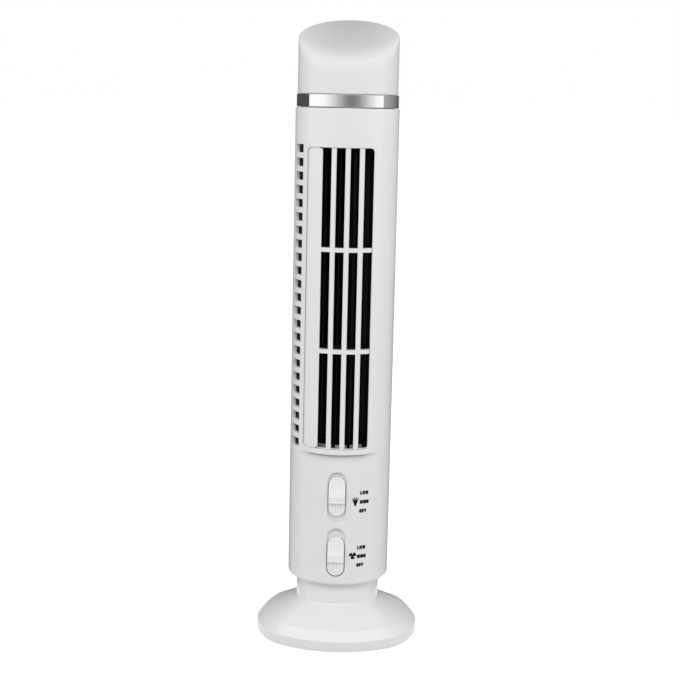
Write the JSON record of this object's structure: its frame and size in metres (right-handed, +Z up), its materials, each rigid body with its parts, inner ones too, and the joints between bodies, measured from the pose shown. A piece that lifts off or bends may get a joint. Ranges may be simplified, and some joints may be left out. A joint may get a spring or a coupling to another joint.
{
  "type": "desk tower fan",
  "caption": "Slim desk tower fan with a flared round base, a tall front grille with a cross-flow impeller behind it, a lamp in its slanted cap, and two slide switches.",
  "frame": {"origin": "centre of the underside, on the surface the fan stands on", "axes": "+Z up along the body; -Y is the front with the grille and the switches; +X is the right-hand side seen from the front"},
  "size_m": [0.0884, 0.0852, 0.3294],
  "materials": {
    "body_plastic": "satin white moulded plastic",
    "inner_plastic": "plain moulded plastic",
    "black_plastic": "matt black moulded plastic",
    "knob_plastic": "bright white moulded plastic",
    "trim_chrome": "bright plated trim",
    "lamp_cover": "translucent white moulded plastic",
    "steel": "zinc plated",
    "iron": "blackened",
    "rubber": "matt",
    "brass": "plain",
    "board": "coated fibreglass board",
    "white_board": "white coated board",
    "magnet": "ferrite",
    "copper": "enamelled copper on steel laminations",
    "resistor": "coated ceramic",
    "led": "clear moulded resin",
    "lead_red": "plastic insulation"
  },
  "bodies": {
    "tower": {"base_cover": "body_plastic", "base_plate": "inner_plastic", "base_weight": "iron", "rubber_feet": "rubber", "base_plate_screws": "steel", "neck_screws": "steel", "tower_foot": "inner_plastic", "front_shell": "body_plastic", "rear_shell": "body_plastic", "shell_screws": "steel", "outlet_grille": "body_plastic", "intake_screen": "black_plastic", "duct_scroll": "black_plastic", "duct_tongue": "black_plastic", "motor_plate": "inner_plastic", "bearing_plate": "inner_plastic", "motor_can": "steel", "motor_end_cap": "inner_plastic", "motor_terminals": "brass", "motor_magnets": "magnet", "motor_screws": "steel", "upper_bush": "brass", "bush_damper": "rubber", "switch_board": "board", "board_screws": "steel", "resistors": "resistor", "lamp_switch_body": "steel", "fan_switch_body": "steel", "power_jack": "black_plastic", "lamp_deck": "inner_plastic", "chrome_ring": "trim_chrome", "led_board": "white_board", "leds": "led", "led_screws": "steel", "lamp_diffuser": "lamp_cover", "motor_leads": "lead_red", "lamp_leads": "lead_red", "power_leads": "lead_red"},
    "impeller": {"impeller": "black_plastic", "impeller_hub": "black_plastic", "impeller_pin": "steel", "motor_shaft": "steel", "motor_armature": "copper"},
    "lamp_slider": {"lamp_knob": "knob_plastic", "lamp_switch_lever": "black_plastic"},
    "fan_slider": {"fan_knob": "knob_plastic", "fan_switch_lever": "black_plastic"}
  },
  "joints": [
    {"name": "impeller_spin", "type": "hinge", "parent": "tower", "child": "impeller", "pos_m": [0, 0.002, 0.1], "axis": [0, 0, 1], "continuous": true},
    {"name": "lamp_switch", "type": "slide", "parent": "tower", "child": "lamp_slider", "axis": [0, 0, 1], "range_m": [-0.0024, 0.0024]},
    {"name": "fan_switch", "type": "slide", "parent": "tower", "child": "fan_slider", "axis": [0, 0, 1], "range_m": [0, 0.0048]}
  ]
}
